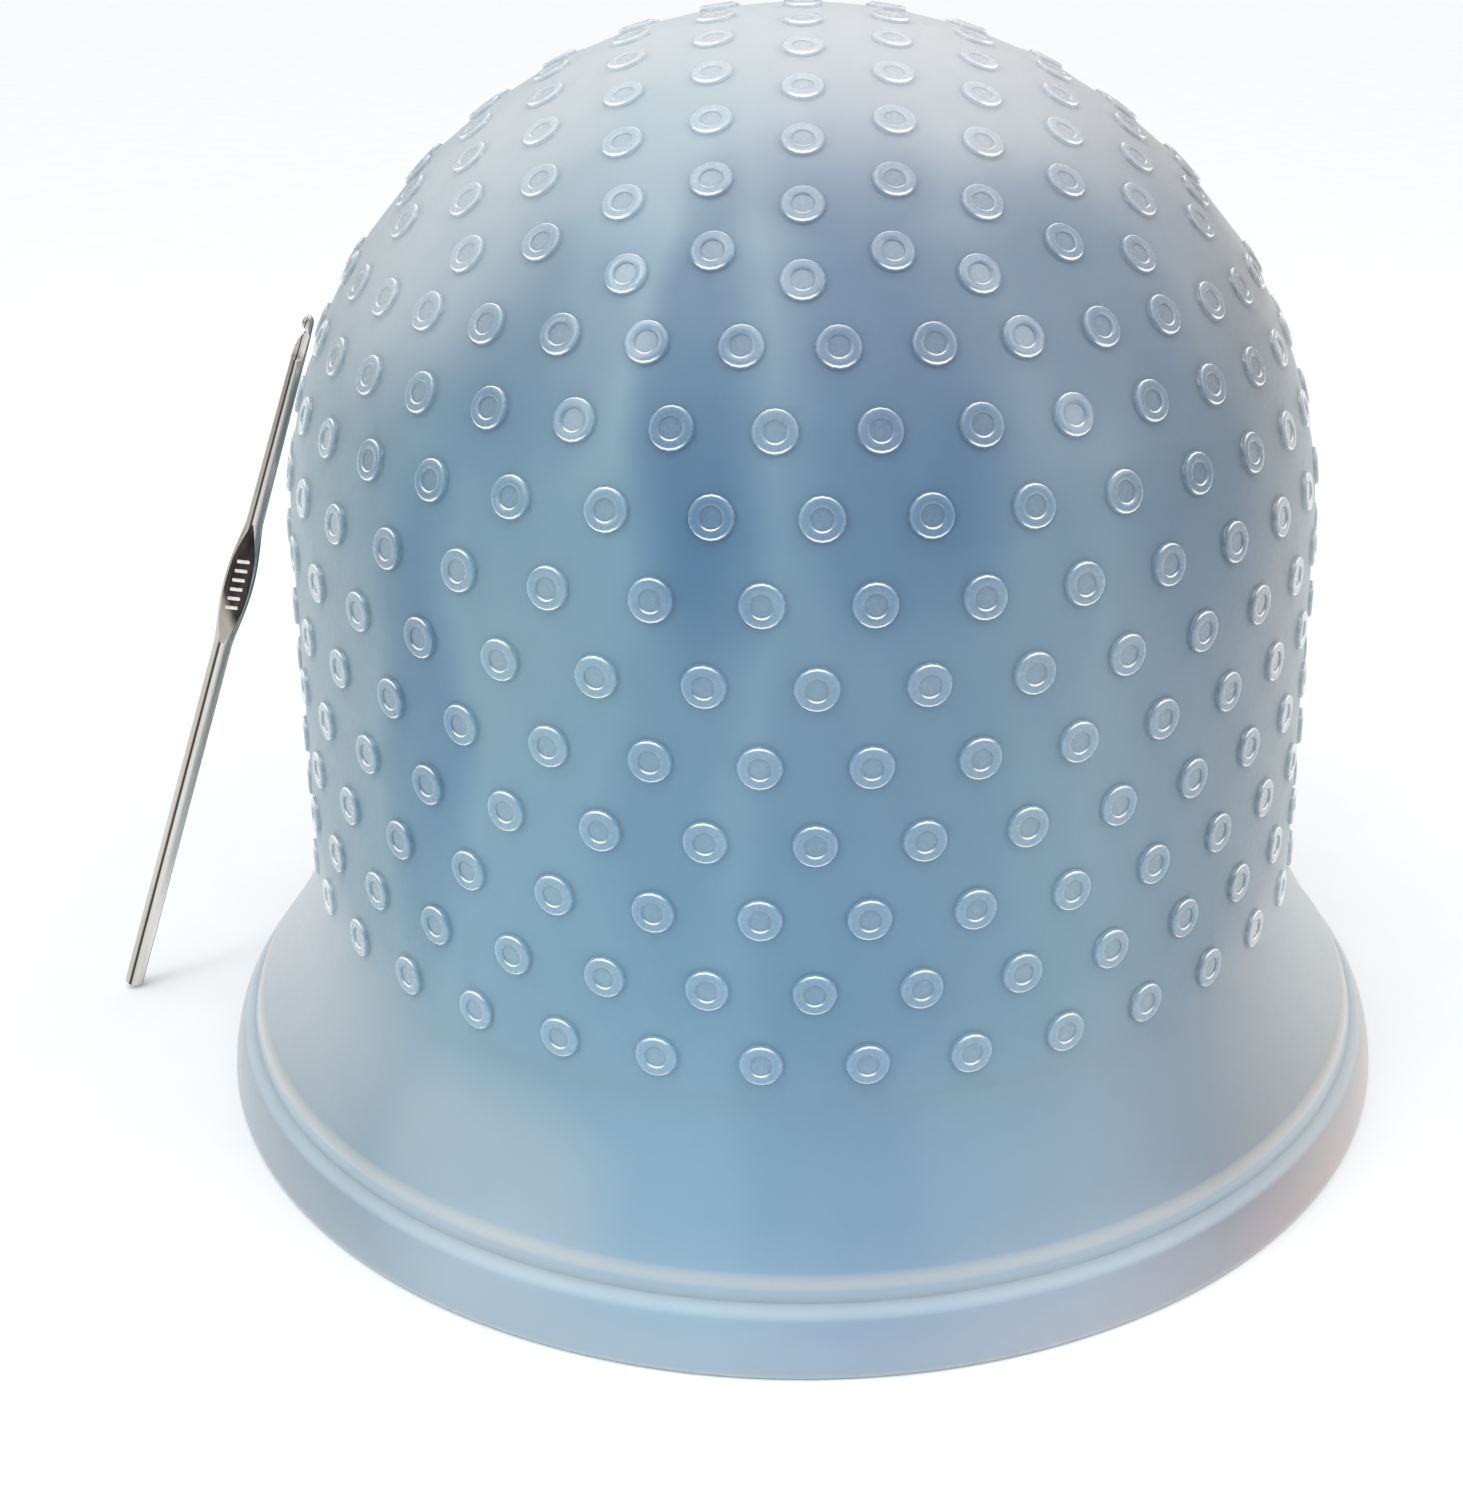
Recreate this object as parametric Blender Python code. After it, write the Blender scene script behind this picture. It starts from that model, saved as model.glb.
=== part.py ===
"""Highlighting cap: a moulded silicone head cap with its steel crochet hook.

Frame: +Z up, -Y towards the viewer, origin at the middle of the footprint of the whole set
on the surface that it stands on.  The cap stands on its rim.  The hook leans on the cap's
-X side, with its foot on the same surface.  The eyelets that cover the dome are surface
detail of the one moulding, and this model leaves them off.
"""
import math

import bmesh
import bpy
from mathutils import Matrix

MM = 0.001

# Cap, driving dimensions (the outer surface)
DOME_RADIUS = 91.0 * MM
CROWN_RISE = 88.0 * MM          # from the top of the straight side to the crown
SIDE_TOP = 102.0 * MM           # height where the straight side meets the crown
SIDE_BOTTOM = 38.0 * MM         # height where the skirt starts to flare
SHOULDER_RADIUS = 103.6 * MM    # where the flare ends
SHOULDER_BOTTOM = 12.4 * MM
FLARE_POWER = 1.5               # how late the flare turns outwards
BAND_TOP = 10.0 * MM            # rim band: from here down to the rim
BAND_TOP_RADIUS = 104.3 * MM
RIM_RADIUS = 108.4 * MM
GROOVE_DEPTH = 0.3 * MM         # the moulded line between the flare and the band
WALL = 1.6 * MM
CAP_SEGMENTS = 64

# Hook, driving dimensions: distances along it are from the squared end
HOOK_LENGTH = 142.0 * MM
SHAFT_RADIUS = 1.7 * MM
NECK_RADIUS = 1.25 * MM         # where the taper ends, at the hooked head
REST_START = 76.0 * MM          # thumb rest: the swaged flat
REST_LENGTH = 25.0 * MM
REST_HALF_WIDTH = 2.75 * MM
REST_HALF_THICKNESS = 0.9 * MM
HEAD_LENGTH = 9.0 * MM          # the part that is cut down to the throat and the barb
HOOK_SEGMENTS = 16

# How the hook leans on the cap
LEAN = math.radians(18.4)       # from the vertical
EYELET_HEIGHT = 1.2 * MM        # room for the eyelets between the dome and the hook
TOUCH_GAP = 0.3 * MM            # where the hook meets the floor and the eyelets

SILICONE = {"colour": (0.47, 0.60, 0.68, 1.0), "roughness": 0.42, "metallic": 0.0}
STEEL = {"colour": (0.62, 0.61, 0.59, 1.0), "roughness": 0.22, "metallic": 1.0}


def clear_scene():
    for item in list(bpy.data.objects):
        bpy.data.objects.remove(item, do_unlink=True)


def make_material(name, look):
    material = bpy.data.materials.new(name)
    material.use_nodes = True
    shader = material.node_tree.nodes["Principled BSDF"]
    shader.inputs["Base Color"].default_value = look["colour"]
    shader.inputs["Roughness"].default_value = look["roughness"]
    shader.inputs["Metallic"].default_value = look["metallic"]
    return material


# ---------------------------------------------------------------- cap

def crown_points(count):
    """Quarter ellipse from the crown's pole down to the straight side."""
    points = []
    for i in range(count + 1):
        angle = math.pi / 2.0 * (1.0 - i / count)
        points.append((DOME_RADIUS * math.cos(angle), SIDE_TOP + CROWN_RISE * math.sin(angle)))
    return points


def side_points(count):
    """Straight side, below its first point."""
    step = (SIDE_TOP - SIDE_BOTTOM) / count
    return [(DOME_RADIUS, SIDE_TOP - i * step) for i in range(1, count + 1)]


def flare_points(count):
    """Skirt from the side out to the shoulder, a hollow curve below its first point."""
    drop = SIDE_BOTTOM - SHOULDER_BOTTOM
    reach = SHOULDER_RADIUS - DOME_RADIUS
    return [(DOME_RADIUS + reach * (i / count) ** FLARE_POWER, SIDE_BOTTOM - drop * i / count)
            for i in range(1, count + 1)]


def band_points(count):
    """Groove bottom, then the band's quarter ellipse down to the rim's outer edge."""
    groove_height = (SHOULDER_BOTTOM + BAND_TOP) / 2.0
    points = [(SHOULDER_RADIUS - GROOVE_DEPTH, groove_height)]
    reach = RIM_RADIUS - BAND_TOP_RADIUS
    for i in range(count + 1):
        angle = math.pi / 2.0 * (1.0 - i / count)
        points.append((BAND_TOP_RADIUS + reach * math.cos(angle), BAND_TOP * math.sin(angle)))
    return points


def inset(points, distance):
    """The same outline, moved inwards along its own normals."""
    moved = []
    last = len(points) - 1
    for i, (radius, height) in enumerate(points):
        before = points[max(i - 1, 0)]
        after = points[min(i + 1, last)]
        run = after[0] - before[0]
        fall = after[1] - before[1]
        length = math.hypot(run, fall)
        moved.append((radius + distance * fall / length, height - distance * run / length))
    return moved


def make_cap(centre_x, material, collection):
    outer = crown_points(12) + side_points(1) + flare_points(7) + band_points(4)
    inner = inset(outer, WALL)
    inner[0] = (0.0, outer[0][1] - WALL)
    inner[-1] = (RIM_RADIUS - WALL, 0.0)
    section = outer + inner[::-1]

    form = bmesh.new()
    chain = [form.verts.new((radius, 0.0, height)) for radius, height in section]
    edges = [form.edges.new(pair) for pair in zip(chain, chain[1:])]
    bmesh.ops.spin(form, geom=chain + edges, cent=(0.0, 0.0, 0.0), axis=(0.0, 0.0, 1.0),
                   angle=math.tau, steps=CAP_SEGMENTS, use_merge=True)
    bmesh.ops.remove_doubles(form, verts=form.verts, dist=0.01 * MM)
    bmesh.ops.recalc_face_normals(form, faces=form.faces)

    mesh = bpy.data.meshes.new("silicone_cap")
    form.to_mesh(mesh)
    form.free()
    mesh.materials.append(material)
    mesh.shade_smooth()
    cap = bpy.data.objects.new("silicone_cap", mesh)
    cap.location = (centre_x, 0.0, 0.0)
    collection.objects.link(cap)


# ---------------------------------------------------------------- hook

def hook_sections():
    """Sections up the hook: (distance, half width, half thickness, sideways offset)."""
    shaft = SHAFT_RADIUS
    chamfer = 0.3 * MM
    sections = [(0.0, shaft - chamfer, shaft - chamfer, 0.0), (chamfer, shaft, shaft, 0.0)]
    rest_end = REST_START + REST_LENGTH
    after_rest = shaft - 0.15 * MM
    steps = 8
    for i in range(steps + 1):
        t = i / steps
        swell = math.sin(math.pi * t) ** 1.2
        round_radius = shaft + (after_rest - shaft) * t
        sections.append((REST_START + REST_LENGTH * t,
                         round_radius + (REST_HALF_WIDTH - round_radius) * swell,
                         round_radius + (REST_HALF_THICKNESS - round_radius) * swell,
                         0.0))
    head_start = HOOK_LENGTH - HEAD_LENGTH
    middle = (rest_end + head_start) / 2.0
    sections.append((middle, (after_rest + NECK_RADIUS) / 2.0, (after_rest + NECK_RADIUS) / 2.0, 0.0))
    neck = NECK_RADIUS
    # ledge, taper to the throat, barb, rounded tip: distance from the tip, then as above
    head = [(HEAD_LENGTH, neck, neck, 0.0),
            (8.4 * MM, neck, 0.70 * neck, 0.0),
            (5.0 * MM, 0.84 * neck, 0.62 * neck, 0.16 * neck),
            (3.3 * MM, 0.52 * neck, 0.56 * neck, 0.44 * neck),
            (2.6 * MM, 0.50 * neck, 0.54 * neck, 0.44 * neck),
            (2.0 * MM, 0.80 * neck, 0.58 * neck, 0.12 * neck),
            (1.0 * MM, 0.76 * neck, 0.58 * neck, 0.10 * neck),
            (0.3 * MM, 0.52 * neck, 0.42 * neck, 0.12 * neck),
            (0.0, 0.22 * neck, 0.18 * neck, 0.14 * neck)]
    for from_tip, width, thickness, offset in head:
        sections.append((HOOK_LENGTH - from_tip, width, thickness, offset))
    return sections


def make_hook(foot_x, material, collection):
    """Round and flat sections joined in a loft, with its foot at the object's origin."""
    form = bmesh.new()
    rings = []
    for distance, half_width, half_thickness, offset in hook_sections():
        place = Matrix.Translation((offset, 0.0, distance))
        stretch = Matrix.Diagonal((half_width, half_thickness, 1.0, 1.0))
        ring = bmesh.ops.create_circle(form, segments=HOOK_SEGMENTS, radius=1.0,
                                       matrix=place @ stretch)
        edges = {edge for vert in ring["verts"] for edge in vert.link_edges}
        rings.append(list(edges))
    for lower, upper in zip(rings, rings[1:]):
        bmesh.ops.bridge_loops(form, edges=lower + upper)
    bmesh.ops.holes_fill(form, edges=rings[0] + rings[-1], sides=HOOK_SEGMENTS)
    bmesh.ops.recalc_face_normals(form, faces=form.faces)

    mesh = bpy.data.meshes.new("hook")
    form.to_mesh(mesh)
    form.free()
    mesh.materials.append(material)
    mesh.shade_smooth()
    mesh.set_sharp_from_angle(angle=math.radians(40.0))

    hook = bpy.data.objects.new("hook", mesh)
    lift = SHAFT_RADIUS * math.sin(LEAN) + TOUCH_GAP
    hook.location = (foot_x, 0.0, lift)
    hook.rotation_euler = (0.0, LEAN, 0.0)
    collection.objects.link(hook)
    return hook


def foot_distance():
    """From the cap's axis to the hook's axis at the floor, when the hook leans on the crown.

    The dome's section is an ellipse, and a line at the lean angle touches it where the
    distance from the ellipse's centre is the support function of the line's normal.
    """
    support = math.hypot(DOME_RADIUS * math.cos(LEAN), CROWN_RISE * math.sin(LEAN))
    offset = support + EYELET_HEIGHT + TOUCH_GAP + SHAFT_RADIUS
    return (offset + SIDE_TOP * math.sin(LEAN)) / math.cos(LEAN)


def main():
    clear_scene()
    collection = bpy.data.collections.new("highlighting_cap")
    bpy.context.scene.collection.children.link(collection)

    foot = foot_distance()
    reach = foot + SHAFT_RADIUS * math.cos(LEAN)
    cap_x = (reach - RIM_RADIUS) / 2.0

    make_cap(cap_x, make_material("silicone", SILICONE), collection)
    make_hook(cap_x - foot, make_material("steel", STEEL), collection)


main()
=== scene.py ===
"""Looks of the highlighting cap: the silicone moulding with its eyelets, and the crochet hook.

The cap is one closed mesh on a surface of revolution.  Places on it are given by the
distance along the outline from the crown's pole, the azimuth from the front (-Y) towards
+X, and the height above the outer surface.  Lengths are in metres, except in tables that say mm.
"""
import math

import bmesh
import bpy
import numpy as np
from mathutils import Matrix, Vector
from mathutils.geometry import delaunay_2d_cdt


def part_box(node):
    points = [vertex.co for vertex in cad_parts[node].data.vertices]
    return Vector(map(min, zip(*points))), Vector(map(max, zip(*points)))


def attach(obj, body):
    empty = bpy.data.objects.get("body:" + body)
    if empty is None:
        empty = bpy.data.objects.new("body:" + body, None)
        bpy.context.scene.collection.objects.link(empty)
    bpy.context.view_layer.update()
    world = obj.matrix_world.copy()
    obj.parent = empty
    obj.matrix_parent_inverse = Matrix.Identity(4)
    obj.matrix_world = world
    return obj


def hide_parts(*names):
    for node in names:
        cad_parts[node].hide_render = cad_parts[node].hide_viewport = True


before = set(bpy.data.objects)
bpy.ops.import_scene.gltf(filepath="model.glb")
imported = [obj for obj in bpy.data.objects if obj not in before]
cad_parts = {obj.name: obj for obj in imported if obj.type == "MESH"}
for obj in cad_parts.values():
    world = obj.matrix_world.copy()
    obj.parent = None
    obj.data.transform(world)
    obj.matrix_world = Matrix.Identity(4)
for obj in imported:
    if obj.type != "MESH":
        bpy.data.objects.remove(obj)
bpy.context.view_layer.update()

MM = 0.001

# ---------------------------------------------------------------- places from the frame

CAP_LOW, CAP_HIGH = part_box("silicone_cap")
HOOK_LOW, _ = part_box("hook")
AXIS_X = (CAP_LOW.x + CAP_HIGH.x) / 2.0
CAP_TOP = CAP_HIGH.z
RIM_RADIUS = (CAP_HIGH.y - CAP_LOW.y) / 2.0

# ---------------------------------------------------------------- cap, driving dimensions

DOME_RADIUS = 91.0 * MM
SIDE_TOP = 102.0 * MM            # height where the straight side meets the crown
SIDE_BOTTOM = 38.0 * MM          # height where the skirt starts to flare
SHOULDER_RADIUS = 103.6 * MM     # where the flare ends
SHOULDER_BOTTOM = 12.4 * MM
FLARE_POWER = 1.5                # how late the flare turns outwards
BAND_TOP = 10.0 * MM             # rim band: from here down to the rim
BAND_TOP_RADIUS = 104.3 * MM
WALL = 1.6 * MM
LIP_RADIUS = WALL / 2.0          # the rim's lower edge is half round
LIP_LENGTH = math.pi / 2.0 * LIP_RADIUS

# Moulded lines round the skirt: height up it, how far they stand out, half width
BEAD = (12.9 * MM, 0.18 * MM, 0.75 * MM)
GROOVE = (11.2 * MM, -0.04 * MM, 1.0 * MM)
BAND_EDGE = (9.5 * MM, 0.10 * MM, 0.6 * MM)
LIP = (0.0, 0.0, 0.8 * MM)       # for its painted highlight only: the outline is rounded there already

ACROSS, ALONG = 6, 3             # how an eyelet's cell is divided round the cap and along its outline
EYELETS_ROUND = 36
EYELET_PITCH = math.tau / EYELETS_ROUND
FIRST_RING = 92.5 * MM           # distance from the pole
RING_PITCH = 12.04 * MM
RINGS = 10
RING_START = math.radians(1.1)   # azimuth of the first eyelet
ROW_START = RING_START - EYELET_PITCH / 2.0
TOP_TURN = math.radians(2.6)     # how far the top ring is turned; each ring below it has half as much
CROWN_EDGE = 87.2 * MM           # the crown's own pattern is inside this distance
CROWN_REACH = 82.4 * MM          # its columns' outermost eyelets are at this distance
COLUMN_PITCH = 14.4 * MM
CROWN_PITCH = 12.75 * MM         # between the eyelets of a column, about
COLUMN_SHIFT = 4.5 * MM          # every other column stops this much short
COLUMNS = EYELETS_ROUND * ACROSS  # points in a row all round the cap

# Eyelet section from the shell over the ring and down to the membrane: radius and height in
# mm, and how strong the painted glint on the edge is there, at the ring's top, sides and bottom
EYELET_SECTION = [(3.34, 0.00, 0.00, 0.00, 0.00), (3.20, 0.34, 0.15, 0.00, 0.15),
                  (3.16, 0.58, 0.90, 0.05, 1.00), (3.00, 0.72, 0.70, 0.05, 1.00),
                  (2.82, 0.76, 0.00, 0.00, 0.15), (1.98, 0.72, 0.00, 0.00, 0.05),
                  (1.82, 0.67, 0.05, 0.05, 1.00), (1.68, 0.58, 0.00, 0.05, 0.90),
                  (1.62, 0.42, 0.00, 0.00, 0.00)]
MEMBRANE = 0.40 * MM
EYELET_SIDES = 2 * (ACROSS + ALONG)
EYELET_ANGLES = [math.tau * (i - 0.5 * ALONG) / EYELET_SIDES for i in range(EYELET_SIDES)]
# the eyelets' painted glints, kept on the points under this name
GLINT_ATTRIBUTE = "painted_glint"

SHELL_SLOT, EYELET_SLOT = 0, 1   # the cap's materials
CAP_SHARP_ANGLE = math.radians(30.0)


# ---------------------------------------------------------------- the cap's outline

def ridge(height, feature):
    """How far a moulded line stands out at this height."""
    place, size, half_width = feature
    return size * math.exp(-((height - place) / half_width) ** 2)


def skirt_radius(height):
    """The outer surface below the straight side: flare, then groove, then rim band."""
    if height > SHOULDER_BOTTOM:
        t = (SIDE_BOTTOM - height) / (SIDE_BOTTOM - SHOULDER_BOTTOM)
        radius = DOME_RADIUS + (SHOULDER_RADIUS - DOME_RADIUS) * t ** FLARE_POWER
    elif height > BAND_TOP:
        t = (SHOULDER_BOTTOM - height) / (SHOULDER_BOTTOM - BAND_TOP)
        radius = SHOULDER_RADIUS + (BAND_TOP_RADIUS - SHOULDER_RADIUS) * t
    else:
        out = math.sqrt(max(0.0, 1.0 - (height / BAND_TOP) ** 2))
        radius = BAND_TOP_RADIUS + (RIM_RADIUS - BAND_TOP_RADIUS) * out
    return radius + sum(ridge(height, feature) for feature in (BEAD, GROOVE, BAND_EDGE))


def make_outline(crown_steps, side_steps, skirt_steps, lip_steps):
    """Radius and height from the pole down to the rim's lowest line."""
    points = []
    rise = CAP_TOP - SIDE_TOP
    for i in range(crown_steps):
        angle = math.pi / 2.0 * (1.0 - i / crown_steps)
        points.append((DOME_RADIUS * math.cos(angle), SIDE_TOP + rise * math.sin(angle)))
    for i in range(side_steps):
        points.append((DOME_RADIUS, SIDE_TOP + (SIDE_BOTTOM - SIDE_TOP) * i / side_steps))
    for i in range(skirt_steps):
        height = SIDE_BOTTOM + (LIP_RADIUS - SIDE_BOTTOM) * i / skirt_steps
        points.append((skirt_radius(height), height))
    for i in range(lip_steps + 1):
        angle = math.pi / 2.0 * i / lip_steps
        points.append((RIM_RADIUS - LIP_RADIUS + LIP_RADIUS * math.cos(angle),
                       LIP_RADIUS - LIP_RADIUS * math.sin(angle)))
    return np.array(points)


OUTLINE = make_outline(600, 120, 700, 40)
LENGTHS = np.concatenate([[0.0], np.cumsum(np.hypot(*np.diff(OUTLINE, axis=0).T))])
RIM_LENGTH = LENGTHS[-1]


def outline_normals():
    """Directions straight out of the outer surface, as radius and height."""
    run, rise = np.gradient(OUTLINE, axis=0).T
    length = np.hypot(run, rise)
    return np.array([-rise / length, run / length]).T


NORMALS = outline_normals()


def turned(radius, azimuth, up):
    """A point of the section, turned to this azimuth."""
    return (radius * math.sin(azimuth), -radius * math.cos(azimuth), up)


def ring_turn(index):
    """How far a ring is turned; halves between rings belong to the rows that divide them."""
    return TOP_TURN * 0.5 ** max(index, 0.0)


def on_cap(distance, azimuth, height=0.0):
    """The point at this distance from the pole, turned to this azimuth."""
    radius = np.interp(distance, LENGTHS, OUTLINE[:, 0])
    up = np.interp(distance, LENGTHS, OUTLINE[:, 1])
    out = np.interp(distance, LENGTHS, NORMALS[:, 0])
    lift = np.interp(distance, LENGTHS, NORMALS[:, 1])
    return turned(radius + out * height, azimuth, up + lift * height)


def radius_at(distance):
    return float(np.interp(distance, LENGTHS, OUTLINE[:, 0]))


# ---------------------------------------------------------------- the cap's mesh

class Shell:
    """Points and faces of the cap as they are made."""

    def __init__(self):
        self.points = []
        # painted glint at each point, for the eyelets' edges
        self.glint = []
        self.faces = []
        self.slots = []

    def add(self, point, glint=0.0):
        self.points.append(point)
        self.glint.append(glint)
        return len(self.points) - 1

    def face(self, corners, slot=SHELL_SLOT):
        self.faces.append(corners)
        self.slots.append(slot)

    def strip(self, upper, lower):
        """Quads between two closed rows, the second one further down the outside or up the inside."""
        count = len(upper)
        for i in range(count):
            j = (i + 1) % count
            self.face((upper[i], lower[i], lower[j], upper[j]))


def eyelet(shell, place):
    """One eyelet.  place(u, v, h) gives a point from its centre.  Returns its outermost ring."""
    rings = []
    for radius, height, top, side, bottom in EYELET_SECTION:
        ring = []
        for angle in EYELET_ANGLES:
            u = radius * MM * math.cos(angle)
            v = -radius * MM * math.sin(angle)
            end = bottom if v > 0.0 else top
            # painted glint: strongest at the ring's top and bottom, least at its sides
            glint = side + (end - side) * math.sin(angle) ** 2
            ring.append(shell.add(place(u, v, height * MM), glint))
        rings.append(ring)
    for outer, inner in zip(rings, rings[1:]):
        for i in range(EYELET_SIDES):
            j = (i + 1) % EYELET_SIDES
            shell.face((outer[i], outer[j], inner[j], inner[i]), EYELET_SLOT)
    middle = shell.add(place(0.0, 0.0, MEMBRANE))
    for i in range(EYELET_SIDES):
        shell.face((rings[-1][i], rings[-1][(i + 1) % EYELET_SIDES], middle), EYELET_SLOT)
    return rings[0]


def ring_row(shell, distance, turn):
    """One closed row of points all round the cap."""
    start = ROW_START + turn
    return [shell.add(on_cap(distance, start + math.tau * i / COLUMNS)) for i in range(COLUMNS)]


def cell_shift(index):
    """Every other ring starts half a cell back."""
    return -ACROSS // 2 if index % 2 else 0


def cell_sides(shell, index, top, bottom):
    """The points between two rows, on the lines that divide a ring's cells."""
    sides = []
    for cell in range(EYELETS_ROUND):
        azimuth = ROW_START + math.tau * (cell * ACROSS + cell_shift(index)) / COLUMNS
        side = []
        for k in range(1, ALONG):
            distance = top + (bottom - top) * k / ALONG
            side.append(shell.add(on_cap(distance, azimuth + ring_turn(index - 0.5 + k / ALONG))))
        sides.append(side)
    return sides


def ring_of_eyelets(shell, index, upper, lower, top, bottom):
    """Cells between two rows, each with an eyelet in its middle."""
    centre = FIRST_RING + index * RING_PITCH
    radius = radius_at(centre)
    sides = cell_sides(shell, index, top, bottom)
    for cell in range(EYELETS_ROUND):
        first = cell * ACROSS + cell_shift(index)
        azimuth = ROW_START + math.tau * (first + ACROSS / 2.0) / COLUMNS + ring_turn(index)
        rim = eyelet(shell, lambda u, v, h: on_cap(centre + v, azimuth + u / radius, h))
        left = sides[cell]
        right = sides[(cell + 1) % EYELETS_ROUND]
        above = [upper[(first + i) % COLUMNS] for i in range(ACROSS + 1)]
        below = [lower[(first + i) % COLUMNS] for i in range(ACROSS + 1)]
        # anticlockwise from the lower right corner, as seen from outside
        border = [below[-1], *right[::-1], *above[::-1], *left, *below[:-1]]
        for i in range(EYELET_SIDES):
            j = (i + 1) % EYELET_SIDES
            shell.face((border[i], border[j], rim[j], rim[i]))


def crown_centres():
    """Straight columns from front to back, in the plan that keeps distances from the pole."""
    centres = []
    half_count = int(CROWN_REACH / COLUMN_PITCH)
    for i in range(-half_count, half_count + 1):
        x = i * COLUMN_PITCH
        reach = math.sqrt(CROWN_REACH ** 2 - x ** 2) - (COLUMN_SHIFT if i % 2 else 0.0)
        steps = round(2.0 * reach / CROWN_PITCH)
        centres += [(x, reach * (2.0 * k / steps - 1.0)) for k in range(steps + 1)]
    return centres


def crown_eyelet(shell, x, y):
    """An eyelet on the crown.  Returns its outermost ring, and the same ring in the plan."""
    distance = math.hypot(x, y)
    away = (x / distance, y / distance) if distance > MM else (0.0, 1.0)
    widen = distance / radius_at(distance) if distance > MM else 1.0

    def plan(u, v):
        return (x + away[0] * v - away[1] * u * widen, y + away[1] * v + away[0] * u * widen)

    def place(u, v, h):
        px, py = plan(u, v)
        return on_cap(math.hypot(px, py), math.atan2(px, -py), h)

    rim = eyelet(shell, place)
    radius = EYELET_SECTION[0][0] * MM
    flat = [Vector(plan(radius * math.cos(angle), -radius * math.sin(angle))) for angle in EYELET_ANGLES]
    return rim, flat


def crown(shell, edge):
    """The crown inside the first row: eyelets, and triangles between them."""
    start = ROW_START + ring_turn(-0.5)
    flat = []
    for i in range(COLUMNS):
        azimuth = start + math.tau * i / COLUMNS
        flat.append(Vector((CROWN_EDGE * math.sin(azimuth), -CROWN_EDGE * math.cos(azimuth))))
    names = list(edge)
    owner = {}
    loops = []
    for number, (x, y) in enumerate(crown_centres()):
        rim, outline = crown_eyelet(shell, x, y)
        first = len(flat)
        for i in range(EYELET_SIDES):
            owner[first + i] = number
            loops.append((first + i, first + (i + 1) % EYELET_SIDES))
        names += rim
        flat += outline
    all_triangles = 0
    same_point = 1e-7
    _, _, triangles, origins, _, _ = delaunay_2d_cdt(flat, loops, [], all_triangles, same_point)
    for triangle in triangles:
        corners = [origins[corner][0] for corner in triangle]
        owners = {owner.get(corner) for corner in corners}
        inside_an_eyelet = len(owners) == 1 and None not in owners
        if not inside_an_eyelet:
            shell.face(tuple(names[corner] for corner in corners))


# Rows down the skirt, by their height in mm: closer together over the moulded lines
SKIRT_ROWS = [34.0, 31.5, 29.0, 26.5, 24.0, 21.5, 19.5, 17.5, 16.0, 15.2, 14.5, 13.9, 13.3, 12.7, 12.2,
              11.7, 11.2, 10.7, 10.2, 9.7, 9.2, 8.6, 7.8, 6.6, 5.2, 3.5, 2.0]
LIP_STEPS = 3                    # from the skirt's end to the lowest line, and from there to the inside

# Rows up the inside of the skirt, by their distance from the lip in mm, then even ones to the pole
INNER_SKIRT_ROWS = [2.0, 4.5, 7.0, 9.0, 12.0, 16.0, 21.0, 27.0, 34.0]
INNER_ROW_GAP = 10.0 * MM
INNER_ROWS = 16
POLE_GAP = 8.0 * MM              # the last row's distance from the pole


def skirt_distances(start):
    """Distances from the pole of the rows below start, down to the rim's lowest line."""
    skirt = OUTLINE[:, 1] < SIDE_BOTTOM
    distances = [float(np.interp(-height * MM, -OUTLINE[skirt, 1], LENGTHS[skirt])) for height in SKIRT_ROWS]
    lip = [RIM_LENGTH - LIP_LENGTH * (1.0 - k / LIP_STEPS) for k in range(LIP_STEPS + 1)]
    return [distance for distance in distances if distance > start] + lip


def inner_rows(shell, last):
    """The inner surface, from the rim's lowest line up to the pole."""
    rows = [last]
    azimuths = [ROW_START + math.tau * i / COLUMNS for i in range(COLUMNS)]
    for k in range(1, LIP_STEPS + 1):
        angle = -math.pi / 2.0 - math.pi / 2.0 * k / LIP_STEPS
        radius = RIM_RADIUS - LIP_RADIUS + LIP_RADIUS * math.cos(angle)
        height = LIP_RADIUS + LIP_RADIUS * math.sin(angle)
        rows.append([shell.add(turned(radius, azimuth, height)) for azimuth in azimuths])
    distances = [RIM_LENGTH - LIP_LENGTH - step * MM for step in INNER_SKIRT_ROWS]
    distances += list(np.linspace(distances[-1] - INNER_ROW_GAP, POLE_GAP, INNER_ROWS))
    for distance in distances:
        rows.append([shell.add(on_cap(distance, azimuth, -WALL)) for azimuth in azimuths])
    for outer, inner in zip(rows, rows[1:]):
        shell.strip(outer, inner)
    pole = shell.add(on_cap(0.0, 0.0, -WALL))
    for i in range(COLUMNS):
        shell.face((rows[-1][i], pole, rows[-1][(i + 1) % COLUMNS]))


def make_cap(silicone, eyelet_finish):
    """Crown, rings of eyelets, skirt and inner surface, as one closed shell."""
    shell = Shell()
    rows = [CROWN_EDGE] + [FIRST_RING + RING_PITCH * (k + 0.5) for k in range(RINGS)]
    upper = ring_row(shell, rows[0], ring_turn(-0.5))
    crown(shell, upper)
    for index in range(RINGS):
        lower = ring_row(shell, rows[index + 1], ring_turn(index + 0.5))
        ring_of_eyelets(shell, index, upper, lower, rows[index], rows[index + 1])
        upper = lower
    for distance in skirt_distances(rows[-1] + MM):
        lower = ring_row(shell, distance, 0.0)
        shell.strip(upper, lower)
        upper = lower
    inner_rows(shell, upper)
    return cap_object(shell, silicone, eyelet_finish)


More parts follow.
